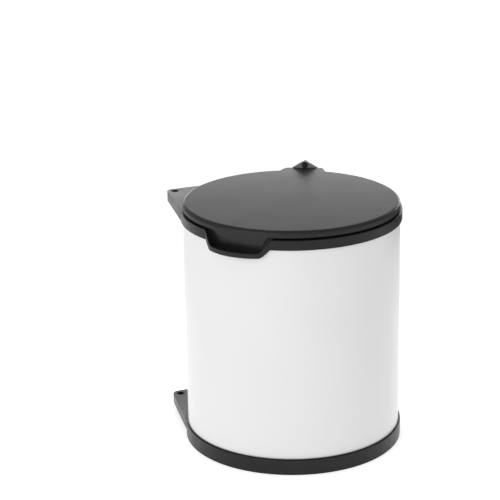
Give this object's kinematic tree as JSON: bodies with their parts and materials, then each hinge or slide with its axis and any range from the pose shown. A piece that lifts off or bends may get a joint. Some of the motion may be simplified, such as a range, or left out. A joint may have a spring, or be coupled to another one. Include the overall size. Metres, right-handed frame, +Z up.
{
  "type": "built-in swing-out waste bin",
  "caption": "Round cabinet waste bin: white steel can on vertical pivot ears, charcoal collar with finger pocket, hinged lid with opener lug, lift-out pail with wire bail.",
  "frame": {"origin": "on the can's axis, on the flat underside of the base pan", "axes": "+Z up along the can and the pivot pins, +Y towards the lid's hinge, +X to the right seen from the front"},
  "size_m": [0.29, 0.2873, 0.308],
  "materials": {
    "white_steel": "satin white powder coat",
    "charcoal_plastic": "fine-textured charcoal moulding",
    "lid_plastic": "fine-textured charcoal moulding with a soft sheen",
    "black_nylon": "matt black nylon",
    "black_rubber": "matt black rubber",
    "grey_plastic": "satin mid-grey moulding",
    "plated_steel": "zinc plated",
    "blackened_steel": "black oxide, slightly worn"
  },
  "bodies": {
    "can": {"can_shell": "white_steel", "can_bottom": "white_steel", "base_pan": "charcoal_plastic", "base_screws": "plated_steel", "base_nuts": "plated_steel", "collar": "charcoal_plastic", "collar_screws": "plated_steel", "upper_ear": "charcoal_plastic", "lower_ear": "charcoal_plastic", "upper_pivot_bush": "black_nylon", "lower_pivot_bush": "black_nylon", "hinge_pin": "plated_steel", "pin_clips": "plated_steel", "pail": "grey_plastic"},
    "lid": {"lid_panel": "lid_plastic", "lid_liner": "charcoal_plastic", "liner_screws": "plated_steel", "lid_seal": "black_rubber", "opener_lug": "black_nylon", "lift_stud": "blackened_steel", "lug_screws": "plated_steel"},
    "bail": {"bail_wire": "plated_steel", "bail_grip": "charcoal_plastic"}
  },
  "joints": [
    {"name": "lid_hinge", "type": "hinge", "parent": "can", "child": "lid", "pos_m": [0.0085, 0.1366, 0.2897], "axis": [-1, 0, 0], "range_deg": [0, 80]},
    {"name": "bail_swing", "type": "hinge", "parent": "can", "child": "bail", "pos_m": [0, 0, 0.266], "axis": [-1, 0, 0], "range_deg": [0, 10]}
  ]
}
